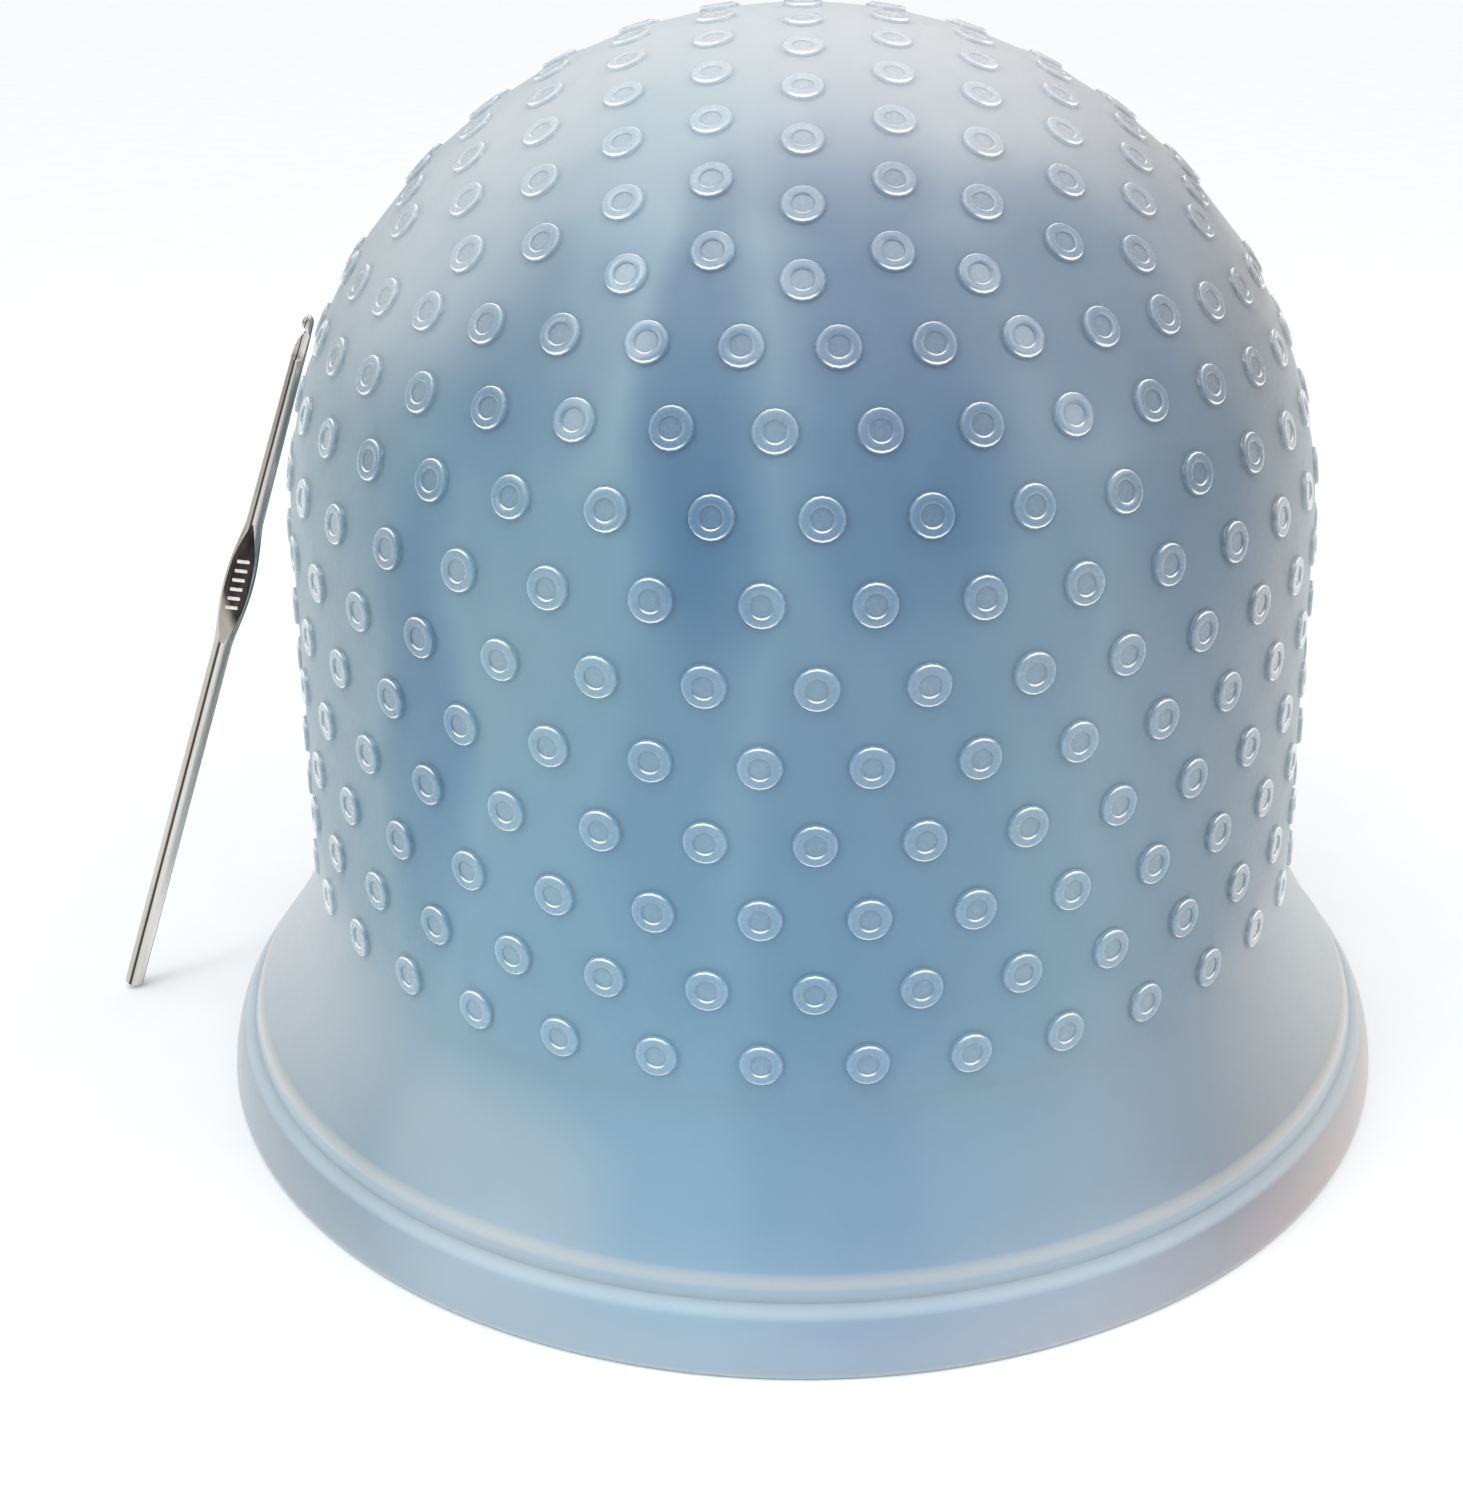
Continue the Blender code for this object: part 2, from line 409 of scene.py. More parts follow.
def cap_object(shell, silicone, eyelet_finish):
    """The shell's faces as a mesh with its two materials, on the cap's axis."""
    mesh = bpy.data.meshes.new("cap")
    mesh.from_pydata(shell.points, [], shell.faces)
    mesh.materials.append(silicone)
    mesh.materials.append(eyelet_finish)
    mesh.polygons.foreach_set("material_index", shell.slots)
    # the eyelets' painted glints
    mesh.attributes.new(GLINT_ATTRIBUTE, "FLOAT", "POINT").data.foreach_set("value", shell.glint)
    mesh.shade_smooth()
    mesh.set_sharp_from_angle(angle=CAP_SHARP_ANGLE)
    mesh.update()
    cap = bpy.data.objects.new("cap", mesh)
    cap.location = (AXIS_X, 0.0, 0.0)
    bpy.context.scene.collection.objects.link(cap)
    return cap


# ---------------------------------------------------------------- the hook

# Distances along the hook are from its squared end
HOOK_LENGTH = 142.0 * MM
LEAN = math.radians(18.4)        # from the vertical
SHAFT_RADIUS = 1.7 * MM
FOOT_CHAMFER = 0.3 * MM
REST_START = 76.0 * MM           # thumb rest, pressed flat
REST_LENGTH = 25.0 * MM
REST_END = REST_START + REST_LENGTH
REST_HALF_WIDTH = 2.75 * MM
REST_HALF_THICKNESS = 0.9 * MM
REST_SWELL = 1.2                 # how slowly the rest widens from its ends
REST_PRESS = 1.25                # it is flat sooner than it is wide, by this factor
LEAST_FLAT = 0.5 * MM            # a narrower flat stays bright
SHAFT_ROW = REST_START - 14.0 * MM   # the one section on the plain shaft
AFTER_REST_RADIUS = SHAFT_RADIUS - 0.15 * MM
NECK_RADIUS = 1.25 * MM
HEAD_LENGTH = 9.0 * MM

# Head: distance from the tip in mm; then in neck radii the half width, how far in front of the
# middle it is cut flat, and how far it is pushed sideways.  The throat is at 2.9, the barb at 1.6
HEAD = [(8.6, 1.0, 1.0, 0.0), (8.2, 1.0, 0.72, 0.0), (7.6, 0.98, 0.60, 0.02), (6.4, 0.93, 0.58, 0.07),
        (5.0, 0.84, 0.56, 0.16), (4.1, 0.68, 0.54, 0.30), (3.5, 0.54, 0.52, 0.42),
        (2.9, 0.48, 0.50, 0.46), (2.55, 0.52, 0.52, 0.42), (2.3, 0.70, 0.54, 0.22),
        (2.05, 0.80, 0.56, 0.12), (1.6, 0.82, 0.58, 0.10), (1.1, 0.78, 0.56, 0.10),
        (0.6, 0.66, 0.48, 0.11), (0.25, 0.48, 0.36, 0.12), (0.06, 0.26, 0.20, 0.13),
        (0.0, 0.12, 0.10, 0.14)]
CUT_BEHIND = 0.62                # the flat behind the head, in neck radii
OVAL_FROM = 3.0                  # from here to the tip, in mm, sections are ovals without flats

# A section's points go anticlockwise from +X: half a side, the back flat, two half sides, the
# front flat, and half a side
HALF_SIDE = 10
FLAT_STEPS = 4
BACK_FLAT = range(HALF_SIDE, HALF_SIDE + FLAT_STEPS)
FRONT_FLAT = range(3 * HALF_SIDE + FLAT_STEPS, 3 * HALF_SIDE + 2 * FLAT_STEPS)
ROUND_EDGE = math.radians(84.0)  # the flats' points start here at the latest, where there is no flat

BARS = 6                         # raised across the thumb rest, on each of its flats
BAR_PITCH = 1.9 * MM
BAR_HALF_LENGTH = 1.15 * MM
BAR_HALF_WIDTH = 0.34 * MM
BAR_RISE = 0.14 * MM
BAR_SLANT = math.radians(-12.0)
BAR_ROUNDING = 0.09 * MM

STEEL_SLOT, FLAT_REFLECTION_SLOT, BRIGHT_SLOT = 0, 1, 2     # the hook's materials
HOOK_SHARP_ANGLE = math.radians(28.0)


def turns(start, end, steps):
    """Angles in even steps from start up to, and without, end."""
    return [start + (end - start) * i / steps for i in range(steps)]


def hook_section(half_width, half_depth, front, back, offset=0.0):
    """An oval cut by flats at y = -front and y = back, and moved along X by the offset."""
    rise_back = math.asin(min(back / half_depth, math.sin(ROUND_EDGE)))
    rise_front = math.asin(min(front / half_depth, math.sin(ROUND_EDGE)))
    angles = turns(0.0, rise_back, HALF_SIDE)
    angles += turns(rise_back, math.pi - rise_back, FLAT_STEPS)
    angles += turns(math.pi - rise_back, math.pi, HALF_SIDE)
    angles += turns(math.pi, math.pi + rise_front, HALF_SIDE)
    angles += turns(math.pi + rise_front, math.tau - rise_front, FLAT_STEPS)
    angles += turns(math.tau - rise_front, math.tau, HALF_SIDE)
    points = []
    for angle in angles:
        y = max(-front, min(back, half_depth * math.sin(angle)))
        points.append((offset + half_width * math.cos(angle), y))
    return points


def round_section(radius):
    return hook_section(radius, radius, radius, radius)


def foot_sections(steps):
    """The squared end, with its rounded chamfer."""
    sections = []
    for step in range(steps + 1):
        angle = math.pi / 2.0 * step / steps
        distance = FOOT_CHAMFER * (1.0 - math.cos(angle))
        sections.append((distance, round_section(SHAFT_RADIUS - FOOT_CHAMFER * (1.0 - math.sin(angle)))))
    return sections


def rest_sections(steps):
    """The thumb rest: wider and flatter towards its middle, on a shaft that gets a little thinner."""
    sections = []
    for i in range(steps + 1):
        t = i / steps
        swell = math.sin(math.pi * t) ** REST_SWELL
        shaft = SHAFT_RADIUS + (AFTER_REST_RADIUS - SHAFT_RADIUS) * t
        half_width = shaft + (REST_HALF_WIDTH - shaft) * swell
        press = shaft + (REST_HALF_THICKNESS - shaft) * min(1.0, swell * REST_PRESS)
        sections.append((REST_START + REST_LENGTH * t, hook_section(half_width, shaft, press, press)))
    return sections


def taper_sections(steps):
    """From the thumb rest to the head."""
    sections = []
    for i in range(1, steps + 1):
        t = i / steps
        distance = REST_END + (HOOK_LENGTH - HEAD_LENGTH - REST_END) * t
        sections.append((distance, round_section(AFTER_REST_RADIUS + (NECK_RADIUS - AFTER_REST_RADIUS) * t)))
    return sections


def head_sections():
    """The ledge, the taper to the throat, the barb and the rounded tip."""
    neck = NECK_RADIUS
    sections = []
    for from_tip, width, front, offset in HEAD:
        flat = front * neck
        if from_tip > OVAL_FROM:
            section = hook_section(width * neck, neck, flat, neck * max(front, CUT_BEHIND), offset * neck)
        else:
            section = hook_section(width * neck, flat, flat, flat, offset * neck)
        sections.append((HOOK_LENGTH - from_tip * MM, section))
    return sections


def hook_sections():
    """(distance, section) up the hook."""
    shaft = [(SHAFT_ROW, round_section(SHAFT_RADIUS))]
    return foot_sections(3) + shaft + rest_sections(40) + taper_sections(3) + head_sections()


def skin_hook(form):
    """Faces between the sections, with the pressed flats in a material of their own."""
    sections = hook_sections()
    rows = [[form.verts.new((x, y, distance)) for x, y in section] for distance, section in sections]
    for (distance, section), lower, upper in zip(sections, rows, rows[1:]):
        flat_width = abs(section[BACK_FLAT.start][0] - section[BACK_FLAT.stop][0])
        pressed = REST_START < distance < REST_END and flat_width > LEAST_FLAT
        for i in range(len(lower)):
            j = (i + 1) % len(lower)
            face = form.faces.new((lower[i], lower[j], upper[j], upper[i]))
            on_flat = i in BACK_FLAT or i in FRONT_FLAT
            # the thumb rest's flats get the material with painted reflections
            face.material_index = FLAT_REFLECTION_SLOT if pressed and on_flat else STEEL_SLOT
    form.faces.new(rows[0][::-1])
    form.faces.new(rows[-1])


def raised_bar(form, distance, flat_y):
    """A rounded bar across the thumb rest, standing on its flat at y = flat_y."""
    made = bmesh.ops.create_cube(form, size=2.0)["verts"]
    for face in {face for vert in made for face in vert.link_faces}:
        face.material_index = BRIGHT_SLOT
    edges = {edge for vert in made for edge in vert.link_edges}
    size = Matrix.Diagonal((BAR_HALF_LENGTH, BAR_RISE, BAR_HALF_WIDTH, 1.0))
    slant = Matrix.Rotation(BAR_SLANT, 4, "Y")
    bmesh.ops.transform(form, verts=made, matrix=Matrix.Translation((0.0, flat_y, distance)) @ slant @ size)
    bmesh.ops.bevel(form, geom=list(edges), offset=BAR_ROUNDING, segments=2, affect="EDGES", material=-1)


def add_bars(form):
    """The same bars on both flats of the thumb rest."""
    middle = (REST_START + REST_END) / 2.0
    for k in range(BARS):
        distance = middle + (k - (BARS - 1) / 2.0) * BAR_PITCH
        for side in (-1.0, 1.0):
            raised_bar(form, distance, side * REST_HALF_THICKNESS)


def make_hook(steel, flats_reflection_steel, bright_steel):
    """The hook as it leans on the cap, placed by the lower corner of its box in the frame."""
    form = bmesh.new()
    skin_hook(form)
    add_bars(form)
    bmesh.ops.recalc_face_normals(form, faces=form.faces)
    mesh = bpy.data.meshes.new("crochet_hook")
    form.to_mesh(mesh)
    form.free()
    for finish in (steel, flats_reflection_steel, bright_steel):
        mesh.materials.append(finish)
    mesh.shade_smooth()
    mesh.set_sharp_from_angle(angle=HOOK_SHARP_ANGLE)
    hook = bpy.data.objects.new("crochet_hook", mesh)
    foot_x = HOOK_LOW.x + SHAFT_RADIUS * math.cos(LEAN) - FOOT_CHAMFER * math.sin(LEAN)
    hook.location = (foot_x, 0.0, HOOK_LOW.z + SHAFT_RADIUS * math.sin(LEAN))
    hook.rotation_euler = (0.0, LEAN, 0.0)
    bpy.context.scene.collection.objects.link(hook)
    return hook


# ---------------------------------------------------------------- materials

def fill_ramp(ramp, stops, interpolation="EASE"):
    """Each stop is a position, and a colour or one number for a grey."""
    ramp.interpolation = interpolation
    while len(ramp.elements) < len(stops):
        ramp.elements.new(0.5)
    for element, (position, colour) in zip(ramp.elements, stops):
        element.position = position
        element.color = (*colour, 1.0) if isinstance(colour, tuple) else (colour, colour, colour, 1.0)


class Nodes:
    """Short calls for a material's nodes."""

    def __init__(self, name):
        self.material = bpy.data.materials.new(name)
        self.material.use_nodes = True
        self.tree = self.material.node_tree
        self.shader = self.tree.nodes["Principled BSDF"]

    def new(self, kind, **settings):
        node = self.tree.nodes.new(kind)
        for name, value in settings.items():
            setattr(node, name, value)
        return node

    def put(self, socket, value):
        if isinstance(value, bpy.types.NodeSocket):
            self.tree.links.new(value, socket)
        else:
            socket.default_value = value

    def set(self, name, value):
        self.put(self.shader.inputs[name], value)

    def math(self, operation, a, b=0.0, clamp=False):
        node = self.new("ShaderNodeMath", operation=operation, use_clamp=clamp)
        self.put(node.inputs[0], a)
        self.put(node.inputs[1], b)
        return node.outputs[0]

    def ramp(self, factor, stops, interpolation="EASE"):
        node = self.new("ShaderNodeValToRGB")
        fill_ramp(node.color_ramp, stops, interpolation)
        self.put(node.inputs[0], factor)
        return node.outputs[0]

    def mix(self, factor, a, b, blend="MIX"):
        node = self.new("ShaderNodeMix", data_type="RGBA", blend_type=blend)
        self.put(node.inputs[0], factor)
        self.put(node.inputs[6], a if isinstance(a, bpy.types.NodeSocket) else (*a, 1.0))
        self.put(node.inputs[7], b if isinstance(b, bpy.types.NodeSocket) else (*b, 1.0))
        return node.outputs[2]

    def coords(self, scale=(1.0, 1.0, 1.0)):
        coordinates = self.new("ShaderNodeTexCoord").outputs["Object"]
        mapping = self.new("ShaderNodeMapping")
        mapping.inputs["Scale"].default_value = scale
        self.put(mapping.inputs["Vector"], coordinates)
        return mapping.outputs[0]

    def place(self):
        """X, Y and Z in the object's own space, in metres."""
        parts = self.new("ShaderNodeSeparateXYZ")
        self.put(parts.inputs[0], self.coords())
        return parts.outputs

    def noise(self, scale, detail=2.0, roughness=0.5, stretch=(1.0, 1.0, 1.0)):
        node = self.new("ShaderNodeTexNoise")
        self.put(node.inputs["Vector"], self.coords(stretch))
        node.inputs["Scale"].default_value = scale
        node.inputs["Detail"].default_value = detail
        node.inputs["Roughness"].default_value = roughness
        return node.outputs["Fac"]

    def bump(self, height, strength, distance):
        node = self.new("ShaderNodeBump")
        node.inputs["Strength"].default_value = strength
        node.inputs["Distance"].default_value = distance
        self.put(node.inputs["Height"], height)
        self.put(self.shader.inputs["Normal"], node.outputs[0])


def srgb(*values):
    """A colour given as 0 to 255, as linear light."""
    linear = []
    for value in values:
        v = value / 255.0
        linear.append(v / 12.92 if v <= 0.04045 else ((v + 0.055) / 1.055) ** 2.4)
    return tuple(linear)


# Silicone up the cap: height as a part of the cap's own, and the colour there
BODY = [(0.0, srgb(163, 184, 203)), (0.11, srgb(136, 170, 194)), (0.28, srgb(118, 158, 182)),
        (0.62, srgb(122, 156, 176)), (0.82, srgb(142, 166, 182)), (0.92, srgb(172, 187, 197)),
        (1.0, srgb(198, 204, 209))]
DEEP = [(0.0, srgb(150, 175, 198)), (0.11, srgb(118, 155, 184)), (0.28, srgb(92, 138, 168)),
        (0.62, srgb(82, 122, 154)), (0.82, srgb(104, 132, 156)), (1.0, srgb(182, 190, 198))]

# Painted shade and tint: what the colour is multiplied by from the -X side of the dome to the +X side,
# darker towards -X, and less blue towards +X
SIDE_SHADE_TINT = [(0.0, (0.70, 0.63, 0.58)), (0.10, (0.80, 0.76, 0.70)), (0.20, (0.97, 0.96, 0.92)),
             (0.41, (0.97, 1.0, 1.0)), (0.53, (0.95, 0.93, 0.95)), (0.74, (1.08, 0.93, 0.88)),
             (0.80, (1.03, 0.83, 0.77)), (0.86, (0.94, 0.71, 0.63)), (0.92, (1.08, 0.71, 0.58)),
             (1.0, (1.20, 0.77, 0.57))]

# Soft patches: azimuth and half width in degrees, height and half height in mm, and strength
DEEP_PATCHES = [(-38.5, 8.5, 84.0, 50.0, 1.0),
                (-11.0, 8.5, 138.0, 40.0, 1.0),
                (8.0, 15.0, 144.0, 44.0, 0.6),
                (33.0, 19.0, 154.0, 24.0, 0.5),
                (42.0, 12.0, 120.0, 30.0, 0.3),
                (-31.0, 14.0, 144.0, 20.0, 0.4),
                (-13.0, 8.0, 84.0, 44.0, 0.4),
                (2.0, 26.0, 169.0, 9.0, 0.55)]
# Lighter patches, in the same columns: painted light on the crown's top, a broad painted highlight on its
# upper left, painted light showing through the skirt's two sides, and one small patch low on the skirt's
# front
PAINTED_LIGHT_PATCHES = [(-56.0, 27.0, 166.0, 40.0, 0.5),
                (-95.0, 70.0, 24.0, 30.0, 0.55),
                (95.0, 64.0, 24.0, 34.0, 0.4),
                (-30.0, 14.0, 18.0, 18.0, 0.25),
                (20.0, 60.0, 190.0, 24.0, 0.4)]
PAINTED_LIGHT_COLOUR = srgb(196, 202, 206)
PATCH_WAVER = 0.25               # how far noise moves a patch's sides, in radians
CLOUD_STRENGTH = 0.4             # of the cloudiness all over, next to the deep patches' own

# Painted highlights along the skirt's moulded lines and the rim's lower edge, and painted light over the
# groove's shade: the colour, and how much of the silicone's own each one hides
LINE_HIGHLIGHTS = [(GROOVE, srgb(172, 193, 209), 0.65),
                (BEAD, srgb(220, 212, 198), 0.34),
                (BAND_EDGE, srgb(194, 214, 226), 0.38),
                (LIP, srgb(206, 216, 222), 0.35)]
HIGHLIGHT_REACH = 1.5                 # how far a line's painted highlight goes, in the line's half widths


def painted_line_highlight(nodes, base, height, feature, colour, strength):
    """The base colour, with a painted highlight along one of the skirt's moulded lines."""
    place, _, half_width = feature
    away = nodes.math("DIVIDE", nodes.math("SUBTRACT", height, place), HIGHLIGHT_REACH * half_width)
    near = nodes.math("SUBTRACT", 1.0, nodes.math("MULTIPLY", away, away), clamp=True)
    return nodes.mix(nodes.math("MULTIPLY", near, strength), base, colour)


def patch(nodes, azimuth, height, middle, half_width, level, half_height):
    """One on the patch's middle, falling smoothly to nothing at its edge."""
    across = nodes.math("DIVIDE", nodes.math("SUBTRACT", azimuth, math.radians(middle)),
                        math.radians(half_width))
    along = nodes.math("DIVIDE", nodes.math("SUBTRACT", height, level * MM), half_height * MM)
    square = nodes.math("ADD", nodes.math("MULTIPLY", across, across), nodes.math("MULTIPLY", along, along))
    return nodes.ramp(nodes.math("SUBTRACT", 1.0, square, clamp=True), [(0.0, 0.0), (1.0, 1.0)])


def patchwork(nodes, place, patches, start):
    """The patches' strengths, added to a start.  Noise makes their sides waver."""
    azimuth = nodes.math("ARCTAN2", place["X"], nodes.math("MULTIPLY", place["Y"], -1.0))
    waver = nodes.math("MULTIPLY", nodes.math("SUBTRACT", nodes.noise(22.0, 2.0), 0.5), PATCH_WAVER)
    azimuth = nodes.math("ADD", azimuth, waver)
    total = start
    for middle, half_width, level, half_height, strength in patches:
        here = patch(nodes, azimuth, place["Z"], middle, half_width, level, half_height)
        total = nodes.math("ADD", total, nodes.math("MULTIPLY", here, strength), clamp=True)
    return total


def silicone_colour(nodes):
    """Milky blue, cloudier and deeper in upright patches, lighter at the crown and the skirt; with painted
    shade and tint across the dome, painted light in lighter patches, and painted highlights on the skirt's
    moulded lines.
    """
    place = nodes.place()
    height = nodes.math("DIVIDE", place["Z"], CAP_TOP)
    cloud = nodes.ramp(nodes.noise(18.0, 3.0, 0.55, (1.0, 1.0, 0.25)), [(0.42, 0.0), (0.60, 1.0)])
    depth = patchwork(nodes, place, DEEP_PATCHES, nodes.math("MULTIPLY", cloud, CLOUD_STRENGTH))
    colour = nodes.mix(depth, nodes.ramp(height, BODY), nodes.ramp(height, DEEP))
    side = nodes.math("ADD", nodes.math("DIVIDE", place["X"], 2.0 * DOME_RADIUS), 0.5)
    # painted shade and tint across the dome, from the -X side to the +X side
    colour = nodes.mix(1.0, colour, nodes.ramp(side, SIDE_SHADE_TINT, "LINEAR"), "MULTIPLY")
    # painted light in the lighter patches
    colour = nodes.mix(patchwork(nodes, place, PAINTED_LIGHT_PATCHES, 0.0), colour, PAINTED_LIGHT_COLOUR)
    # painted highlights on the skirt's moulded lines and the rim's lower edge
    for feature, highlight_colour, strength in LINE_HIGHLIGHTS:
        colour = painted_line_highlight(nodes, colour, place["Z"], feature, highlight_colour, strength)
    return colour


def silicone_body(nodes, weight, scale, ior):
    """What the shell and the eyelets share: light spreads under the surface, and a soft bloom on it."""
    nodes.set("Subsurface Weight", weight)
    nodes.set("Subsurface Radius", (0.8, 0.9, 1.0))
    nodes.set("Subsurface Scale", scale)
    nodes.set("IOR", ior)
    nodes.set("Sheen Weight", 0.35)
    nodes.set("Sheen Roughness", 0.5)
    nodes.set("Sheen Tint", (0.96, 0.96, 0.96, 1.0))


def silicone_shell():
    nodes = Nodes("silicone_shell")
    nodes.set("Base Color", silicone_colour(nodes))
    nodes.set("Roughness", nodes.ramp(nodes.noise(900.0, 2.0), [(0.3, 0.40), (0.7, 0.48)]))
    silicone_body(nodes, weight=0.85, scale=0.006, ior=1.41)
    nodes.set("Coat Weight", 0.1)
    nodes.set("Coat Roughness", 0.22)
    nodes.bump(nodes.noise(260.0, 3.0), strength=0.10, distance=0.0004)
    return nodes.material


def silicone_eyelet():
    """Glossier than the shell, its colour a little lighter, with painted light that grows towards the dome's
    two sides, and painted glints on the eyelet's edges, strongest at their top and bottom."""
    nodes = Nodes("silicone_eyelet")
    from_axis = nodes.math("DIVIDE", nodes.math("ABSOLUTE", nodes.place()["X"]), DOME_RADIUS)
    # painted light: the rings are lighter towards the dome's two sides
    limb_light = nodes.ramp(from_axis, [(0.75, 0.04), (0.97, 0.32)])
    ring = nodes.mix(limb_light, silicone_colour(nodes), srgb(220, 228, 232))
    edge = nodes.new("ShaderNodeAttribute", attribute_name=GLINT_ATTRIBUTE)
    # painted glint along the eyelets' edges, in near white
    glint_mask = nodes.ramp(edge.outputs["Fac"], [(0.35, 0.0), (0.80, 1.0)])
    nodes.set("Base Color", nodes.mix(glint_mask, ring, srgb(244, 249, 250)))
    nodes.set("Roughness", nodes.ramp(nodes.noise(1200.0, 2.0), [(0.3, 0.22), (0.7, 0.30)]))
    silicone_body(nodes, weight=0.8, scale=0.003, ior=1.45)
    nodes.set("Coat Weight", 0.75)
    nodes.set("Coat Roughness", 0.05)
    nodes.set("Coat IOR", 1.6)
    nodes.bump(nodes.noise(500.0, 2.0), strength=0.08, distance=0.0002)
    return nodes.material


# Painted reflections: how light the shaft is painted round half a turn from +X, in dark and bright streaks,
# and the same again on its other half
SHAFT_REFLECTIONS = [(0.0, 0.04), (0.05, 0.10), (0.09, 0.80), (0.36, 0.70), (0.41, 0.07),
               (0.46, 0.06), (0.50, 0.80), (0.91, 1.00), (0.95, 0.20), (1.0, 0.04)]


def hook_steel():
    """Plated steel drawn along its length, with painted reflections in dark and bright streaks round the
    shaft.
    """
    nodes = Nodes("hook_steel")
    place = nodes.place()
    angle = nodes.math("ARCTAN2", place["Y"], place["X"])
    turn = nodes.math("FRACT", nodes.math("DIVIDE", angle, math.pi))
    # painted reflections: dark and bright streaks round the shaft
    lines = nodes.ramp(turn, SHAFT_REFLECTIONS, "LINEAR")
    drawn = nodes.noise(700.0, 3.0, 0.6, (1.0, 1.0, 0.03))
    grain = nodes.ramp(drawn, [(0.3, srgb(214, 206, 196)), (0.7, srgb(250, 246, 240))])
    nodes.set("Base Color", nodes.mix(1.0, lines, grain, "MULTIPLY"))
    nodes.set("Metallic", 1.0)
    nodes.set("Roughness", nodes.ramp(drawn, [(0.3, 0.26), (0.7, 0.38)]))
    nodes.bump(drawn, strength=0.08, distance=0.0002)
    return nodes.material


REFLECTION_SLANT = 60.0   # how fast the painted bright reflection's edge climbs towards -X: rest lengths to a metre


def hook_flats_painted_reflection():
    """The pressed flats of the thumb rest, in a painted dark reflection, with a painted bright reflection at
    the lower end.
    """
    nodes = Nodes("hook_flats_painted_reflection")
    grain = nodes.noise(500.0, 4.0, 0.6, (1.0, 1.0, 0.2))
    place = nodes.place()
    up = nodes.math("DIVIDE", nodes.math("SUBTRACT", place["Z"], REST_START), REST_LENGTH)
    slanted = nodes.math("ADD", up, nodes.math("MULTIPLY", place["X"], REFLECTION_SLANT))
    uneven = nodes.math("ADD", slanted, nodes.math("MULTIPLY", grain, 0.1))
    # painted bright reflection at the flats' lower end, its edge slanted
    bright_reflection = nodes.ramp(uneven, [(0.22, 1.0), (0.38, 0.0)])
    # painted dark reflection over the rest of the flats
    pressed = nodes.ramp(grain, [(0.3, srgb(38, 34, 36)), (0.7, srgb(78, 72, 70))])
    nodes.set("Base Color", nodes.mix(bright_reflection, pressed, srgb(176, 170, 162)))
    nodes.set("Metallic", 1.0)
    nodes.set("Roughness", nodes.ramp(grain, [(0.3, 0.22), (0.7, 0.36)]))
    nodes.bump(grain, strength=0.1, distance=0.0002)
    return nodes.material


def hook_bright_steel():
    """The raised bars, which wear bright."""
    nodes = Nodes("hook_bright_steel")
    grain = nodes.noise(900.0, 3.0)
    nodes.set("Base Color", nodes.ramp(grain, [(0.3, srgb(206, 200, 192)), (0.7, srgb(244, 240, 234))]))
    nodes.set("Metallic", 1.0)
    nodes.set("Roughness", nodes.ramp(grain, [(0.3, 0.26), (0.7, 0.36)]))
    return nodes.material


def floor_finish():
    nodes = Nodes("studio_floor")
    grain = nodes.noise(40.0, 3.0)
    nodes.set("Base Color", nodes.ramp(grain, [(0.3, srgb(245, 246, 247)), (0.7, srgb(247, 248, 249))]))
    nodes.set("Roughness", 0.75)
    nodes.set("Specular IOR Level", 0.2)
    return nodes.material


# ---------------------------------------------------------------- studio

FLOOR_HALF_WIDTH = 12.0
WORLD_LIGHT = 0.80

# Light that gloss shows, from the horizon to straight overhead
GLOSS = [(0.0, (0.25, 0.25, 0.255)), (0.30, (0.55, 0.55, 0.561)), (0.70, (1.0, 1.0, 1.02))]

# Panels at the sides, aimed at the middle of the cap
PANEL_SIZE = (0.3, 0.9)
PANEL_POWER = 1.6
PANEL_AIM = (AXIS_X, 0.0, 0.1)


def make_floor(material):
    mesh = bpy.data.meshes.new("studio_floor")
    half = FLOOR_HALF_WIDTH
    mesh.from_pydata([(-half, -half, 0), (half, -half, 0), (half, half, 0), (-half, half, 0)],
                     [], [(0, 1, 2, 3)])
    mesh.materials.append(material)
    floor = bpy.data.objects.new("studio_floor", mesh)
    bpy.context.scene.collection.objects.link(floor)


def gloss_light(tree):
    """A background that is bright overhead and greyer low down."""
    direction = tree.nodes.new("ShaderNodeTexCoord").outputs["Generated"]
    parts = tree.nodes.new("ShaderNodeSeparateXYZ")
    tree.links.new(direction, parts.inputs[0])
    ramp = tree.nodes.new("ShaderNodeValToRGB")
    fill_ramp(ramp.color_ramp, GLOSS)
    tree.links.new(parts.outputs["Z"], ramp.inputs[0])
    gloss = tree.nodes.new("ShaderNodeBackground")
    tree.links.new(ramp.outputs[0], gloss.inputs["Color"])
    gloss.inputs["Strength"].default_value = WORLD_LIGHT
    return gloss.outputs[0]


def make_world():
    """Even white light, with a gradient in its place for gloss."""
    world = bpy.data.worlds.new("studio")
    world.use_nodes = True
    tree = world.node_tree
    even = tree.nodes["Background"]
    even.inputs["Color"].default_value = (0.98, 0.99, 1.0, 1.0)
    even.inputs["Strength"].default_value = WORLD_LIGHT
    path = tree.nodes.new("ShaderNodeLightPath")
    mix = tree.nodes.new("ShaderNodeMixShader")
    tree.links.new(path.outputs["Is Glossy Ray"], mix.inputs[0])
    tree.links.new(even.outputs[0], mix.inputs[1])
    tree.links.new(gloss_light(tree), mix.inputs[2])
    tree.links.new(mix.outputs[0], tree.nodes["World Output"].inputs["Surface"])
    bpy.context.scene.world = world


def aim(thing, target):
    thing.rotation_euler = (Vector(target) - thing.location).to_track_quat("-Z", "Y").to_euler()


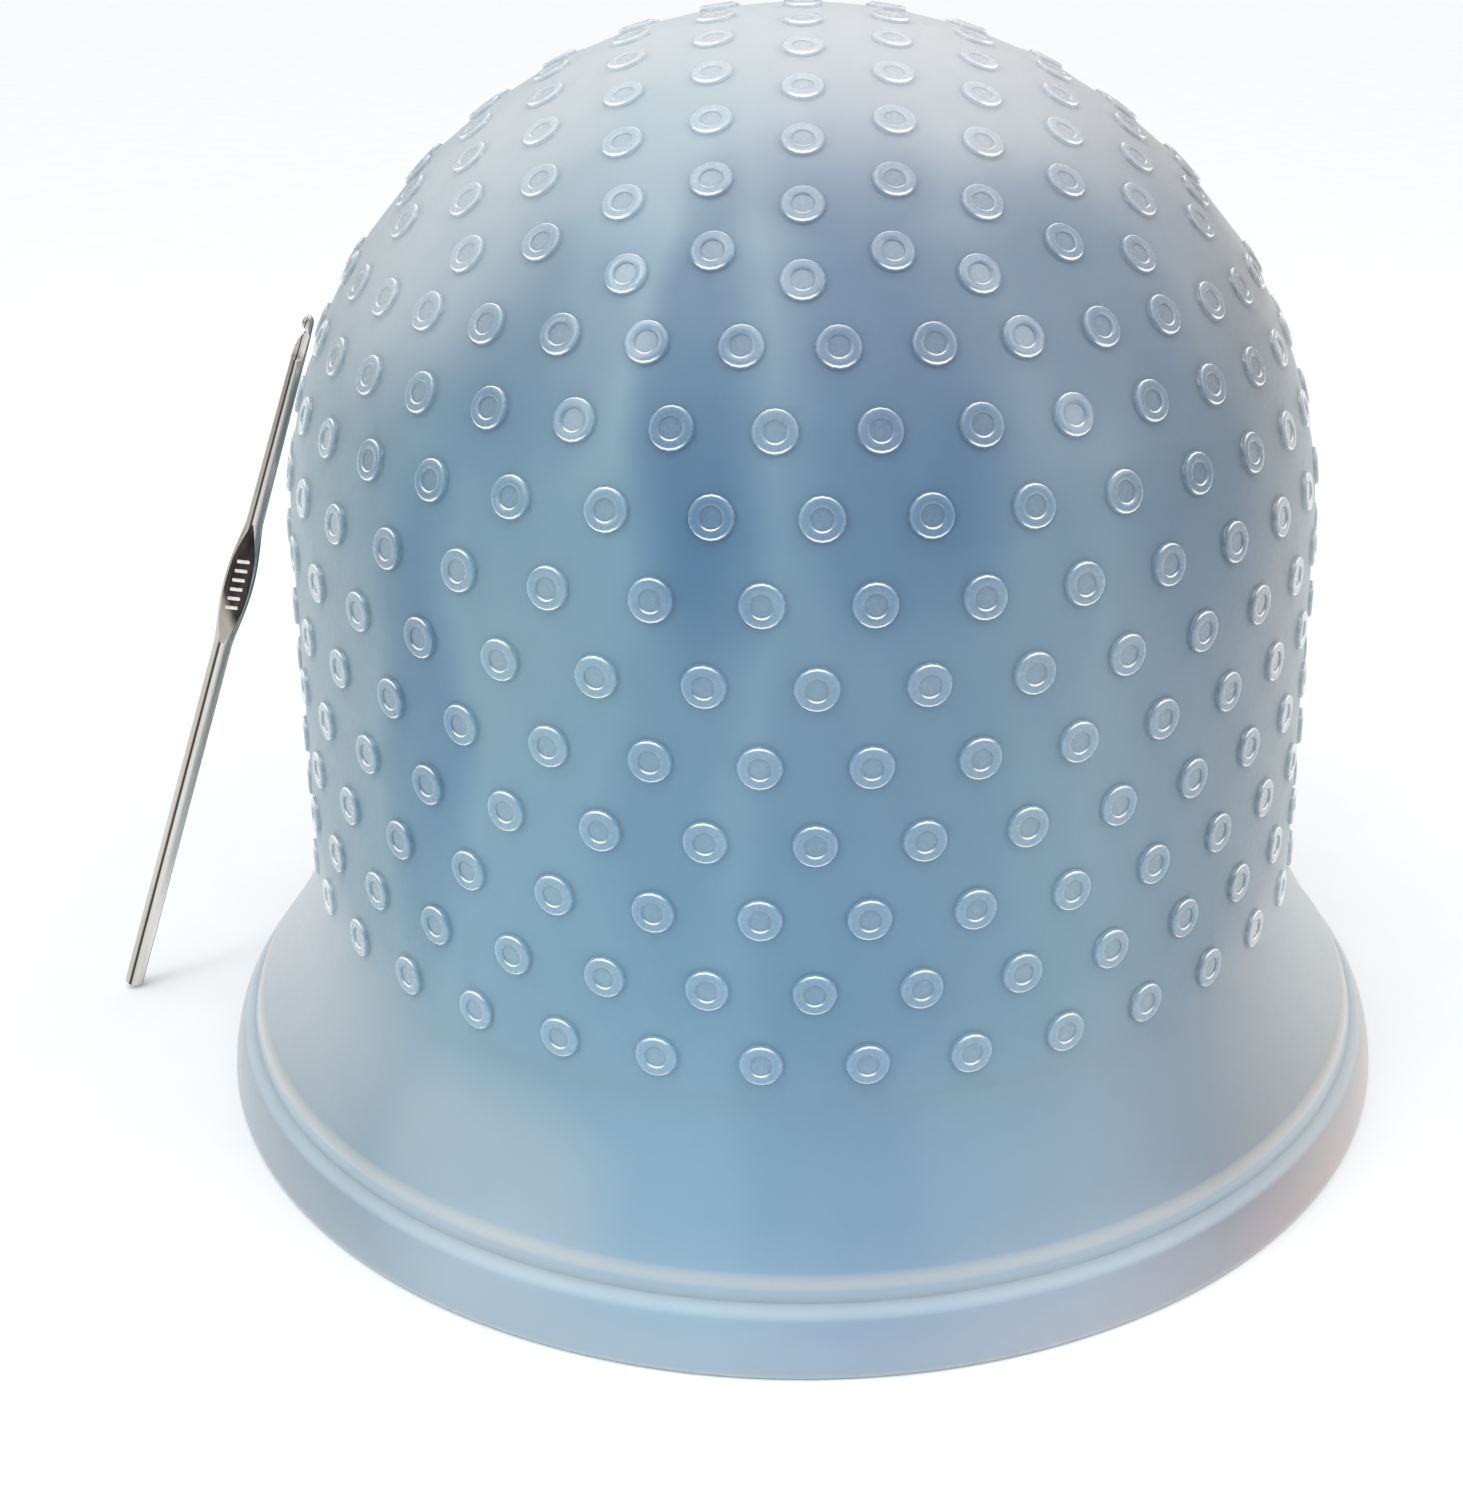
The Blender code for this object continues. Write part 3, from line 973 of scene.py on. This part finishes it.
def add_lamp(light, place, target):
    lamp = bpy.data.objects.new(light.name, light)
    lamp.location = place
    bpy.context.scene.collection.objects.link(lamp)
    aim(lamp, target)


def make_sun(name, direction, strength, spread):
    light = bpy.data.lights.new(name, "SUN")
    light.energy = strength
    light.angle = math.radians(spread)
    add_lamp(light, direction, (0.0, 0.0, 0.0))


def make_panel(name, place, colour):
    light = bpy.data.lights.new(name, "AREA")
    light.shape = "RECTANGLE"
    light.size, light.size_y = PANEL_SIZE
    light.energy = PANEL_POWER
    light.color = colour
    add_lamp(light, place, PANEL_AIM)


# The camera is aimed at the cap's axis, at the height where the side meets the crown
CAMERA_RISE = math.radians(17.22)
CAMERA_DISTANCE = 360.05 * MM
CAMERA_LENS = 47.08
CAMERA_SHIFT = (-0.0475, -0.1697)


def make_camera():
    camera = bpy.data.cameras.new("camera")
    camera.lens = CAMERA_LENS
    camera.shift_x, camera.shift_y = CAMERA_SHIFT
    camera.clip_start = 0.01
    camera.clip_end = 60.0
    viewer = bpy.data.objects.new("camera", camera)
    viewer.location = (AXIS_X, -CAMERA_DISTANCE * math.cos(CAMERA_RISE),
                       SIDE_TOP + CAMERA_DISTANCE * math.sin(CAMERA_RISE))
    bpy.context.scene.collection.objects.link(viewer)
    aim(viewer, (AXIS_X, 0.0, SIDE_TOP))
    bpy.context.scene.camera = viewer


# ---------------------------------------------------------------- the whole scene

def main():
    cap = make_cap(silicone_shell(), silicone_eyelet())
    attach(cap, "cap")
    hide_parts("silicone_cap")

    hook = make_hook(hook_steel(), hook_flats_painted_reflection(), hook_bright_steel())
    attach(hook, "hook")
    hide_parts("hook")

    make_floor(floor_finish())
    make_world()
    make_sun("overhead", direction=(-0.25, -0.4, 2.0), strength=0.85, spread=50.0)
    make_panel("left_panel", place=(-0.6, -0.45, 0.7), colour=(1.0, 1.0, 1.0))
    make_panel("right_panel", place=(0.65, -0.30, 0.7), colour=(1.0, 0.98, 0.96))
    make_camera()
    bpy.context.scene.view_settings.view_transform = "Standard"


main()
